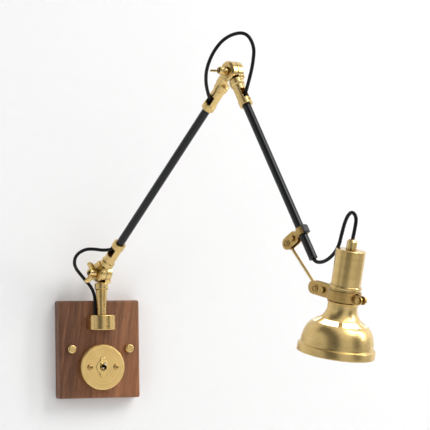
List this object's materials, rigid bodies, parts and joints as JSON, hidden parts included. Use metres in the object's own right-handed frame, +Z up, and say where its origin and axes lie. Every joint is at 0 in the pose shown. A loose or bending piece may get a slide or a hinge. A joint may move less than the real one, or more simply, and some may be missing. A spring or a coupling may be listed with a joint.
{
  "type": "articulating wall lamp",
  "caption": "Articulating wall lamp: wooden backboard with toggle switch, swivel stem, two knuckle-jointed arms with wing nuts and a spun shade steered by a link rod.",
  "frame": {"origin": "centre of the backboard's back face, which lies on the wall", "axes": "+Z up, -Y out of the wall, +X to the right seen from the room"},
  "size_m": [0.2885, 0.5235, 0.494],
  "materials": {
    "walnut": "satin oiled",
    "satin_brass": "brushed satin",
    "bright_brass": "polished",
    "spun_brass": "spun satin",
    "black_enamel": "gloss",
    "black_plastic": "matte",
    "nickel": "polished",
    "steel": "zinc plated",
    "cable": "satin",
    "frosted_glass": "frosted"
  },
  "bodies": {
    "root": {"backboard": "walnut", "wall_bracket": "steel", "bracket_studs": "steel", "cap_nuts": "satin_brass", "rosette": "satin_brass", "switch_plate": "bright_brass", "switch_bushing": "bright_brass", "switch_body": "black_plastic", "plate_screws": "bright_brass", "toggle_pin": "nickel", "boss": "satin_brass", "boss_screws": "steel", "swivel_sleeve": "satin_brass", "cable_rise": "cable"},
    "toggle": {"toggle_lever": "nickel"},
    "stem": {"spindle": "steel", "spindle_washer": "steel", "spindle_screw": "steel", "stem": "satin_brass", "stem_knuckle": "satin_brass", "base_bolt": "bright_brass", "base_washer": "bright_brass", "cable_base_loop": "cable"},
    "base_nut": {"base_wing_nut": "bright_brass"},
    "lower_arm": {"lower_knuckle": "satin_brass", "base_socket": "satin_brass", "lower_tube": "black_enamel", "upper_socket": "satin_brass", "upper_knuckle": "satin_brass", "lower_set_screws": "bright_brass", "elbow_bolt": "bright_brass", "elbow_washer": "bright_brass", "cable_in_lower_arm": "cable", "cable_elbow_loop": "cable"},
    "elbow_nut": {"elbow_wing_nut": "bright_brass"},
    "forearm": {"forearm_knuckle": "satin_brass", "forearm_socket": "satin_brass", "forearm_set_screw": "bright_brass", "forearm_tube": "black_enamel", "tube_bush": "black_plastic", "clamp_band": "bright_brass", "clamp_bolt": "bright_brass", "clamp_nut": "bright_brass", "clamp_pin": "bright_brass", "clamp_buffer": "black_plastic", "cable_in_forearm": "cable", "cable_fold": "cable"},
    "link_rod": {"link_rod": "bright_brass", "cable_head_loop": "cable"},
    "head": {"shade": "spun_brass", "cap": "spun_brass", "gland": "spun_brass", "lamp_holder": "black_plastic", "bulb": "frosted_glass", "collar_near": "bright_brass", "collar_far": "bright_brass", "collar_bolts": "bright_brass", "collar_nuts": "bright_brass", "head_pin": "bright_brass"}
  },
  "joints": [
    {"name": "base_swivel", "type": "hinge", "parent": "root", "child": "stem", "pos_m": [0, -0.033, 0.05], "axis": [0, 0, 1], "range_deg": [-95, 60], "deforming": ["cable_rise"]},
    {"name": "base_knuckle", "type": "hinge", "parent": "stem", "child": "lower_arm", "pos_m": [0, -0.033, 0.11], "axis": [0.9272, 0.3746, 0], "range_deg": [-45, 60], "deforming": ["cable_base_loop"]},
    {"name": "base_nut_turn", "type": "hinge", "parent": "stem", "child": "base_nut", "pos_m": [0, -0.033, 0.11], "axis": [0.9272, 0.3746, 0], "range_deg": [-90, 90]},
    {"name": "elbow_knuckle", "type": "hinge", "parent": "lower_arm", "child": "forearm", "pos_m": [0.10622, -0.29591, 0.37396], "axis": [0.9272, 0.3746, 0], "range_deg": [-100, 12], "deforming": ["cable_elbow_loop"]},
    {"name": "elbow_nut_turn", "type": "hinge", "parent": "lower_arm", "child": "elbow_nut", "pos_m": [0.10622, -0.29591, 0.37396], "axis": [0.9272, 0.3746, 0], "range_deg": [-90, 90]},
    {"name": "rod_pivot", "type": "hinge", "parent": "forearm", "child": "link_rod", "pos_m": [0.14617, -0.39478, 0.13731], "axis": [0.9272, 0.3746, 0], "range_deg": [-12, 40], "deforming": ["cable_fold"]},
    {"name": "head_pivot", "type": "hinge", "parent": "link_rod", "child": "head", "pos_m": [0.16561, -0.44289, 0.07734], "axis": [0.9272, 0.3746, 0], "range_deg": [-25, 60], "deforming": ["cable_head_loop"]},
    {"name": "toggle_flip", "type": "hinge", "parent": "root", "child": "toggle", "pos_m": [0, -0.038, -0.0255], "axis": [1, 0, 0], "range_deg": [0, 50]}
  ]
}
